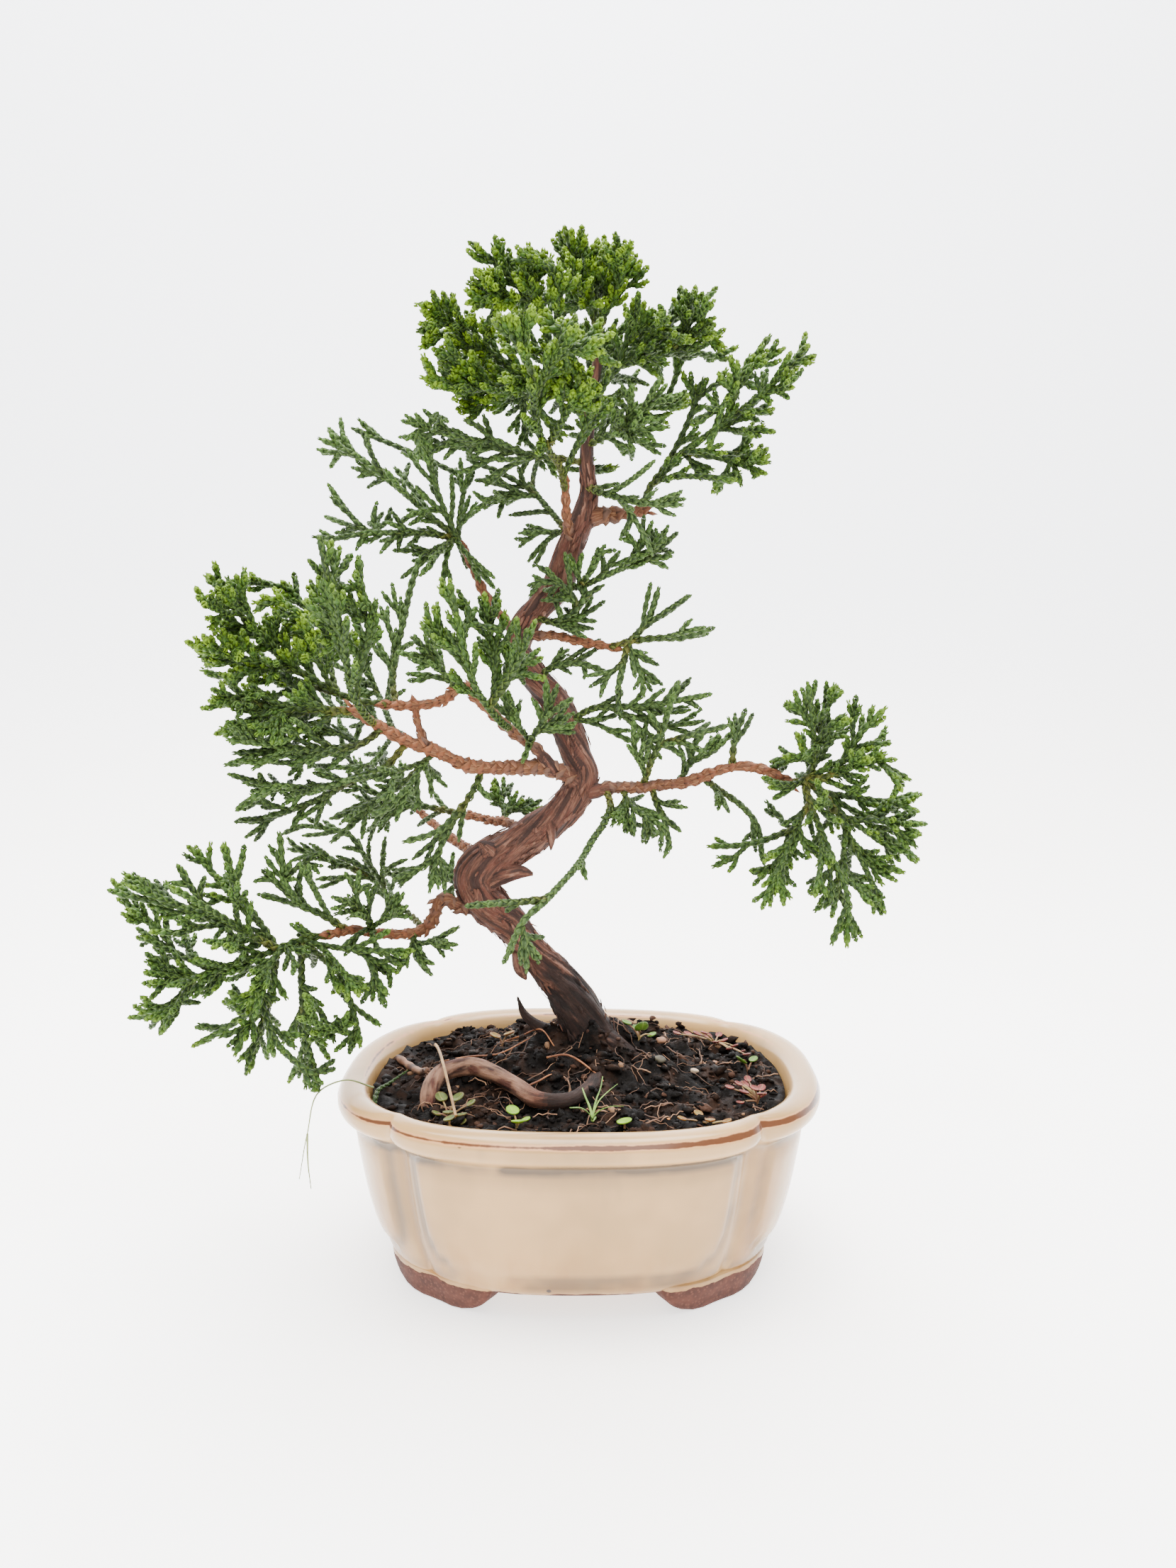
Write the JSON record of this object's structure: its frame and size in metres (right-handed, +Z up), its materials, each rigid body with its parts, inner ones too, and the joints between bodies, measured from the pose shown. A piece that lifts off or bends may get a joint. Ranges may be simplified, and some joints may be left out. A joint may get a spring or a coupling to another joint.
{
  "type": "potted kishu juniper bonsai",
  "caption": "Kishu juniper bonsai: a bent bare trunk with layered scale-leaved pads on thin branches, in a low glazed oval pot with four lobes and corner feet, filled with soil.",
  "frame": {"origin": "middle of the underside of the object's box, on the surface that the pot's feet stand on", "axes": "+Z up the tree; +Y to the back, away from the front that the picture shows; +X to the right in the picture"},
  "size_m": [0.2332, 0.1242, 0.3148],
  "materials": {
    "glaze": "gloss cream glaze with brown edges",
    "soil": "rough",
    "bark": "rough, stringy",
    "foliage": "satin",
    "seedling": "satin",
    "litter": "matt",
    "mesh": "matt"
  },
  "bodies": {
    "root": {"back_low_spray": "foliage", "back_sprig": "foliage", "crown_back": "foliage", "crown_front": "foliage", "crown_left": "foliage", "crown_low_left": "foliage", "crown_low_right": "foliage", "crown_middle": "foliage", "crown_peak": "foliage", "crown_right": "foliage", "crown_right_far": "foliage", "crown_top": "foliage", "drain_mesh_left": "mesh", "drain_mesh_right": "mesh", "fan_left": "foliage", "fan_middle": "foliage", "grass_tuft": "seedling", "low_back": "foliage", "low_front": "foliage", "low_hang": "foliage", "low_pad": "foliage", "low_up": "foliage", "mid_front": "foliage", "mid_high": "foliage", "mid_light": "foliage", "mid_long": "foliage", "mid_low": "foliage", "mid_upright": "foliage", "pad_back": "foliage", "pad_front": "foliage", "pad_low_inner": "foliage", "pad_low_middle": "foliage", "pad_low_outer": "foliage", "pad_middle": "foliage", "pad_outer": "foliage", "pad_small": "foliage", "pad_top": "foliage", "pad_whip": "foliage", "pot": "glaze", "right_down": "foliage", "right_down_far": "foliage", "right_end": "foliage", "right_knot": "foliage", "right_up_far": "foliage", "right_up_inner": "foliage", "right_up_outer": "foliage", "right_whip": "foliage", "seedling_green": "seedling", "seedling_grey": "seedling", "seedling_heart": "seedling", "seedling_pair": "seedling", "seedling_pink": "seedling", "soil": "soil", "straw_stem": "litter", "tree": "bark", "twig_broken": "litter", "under_bright": "foliage", "under_left": "foliage", "under_whip": "foliage"}
  },
  "joints": []
}
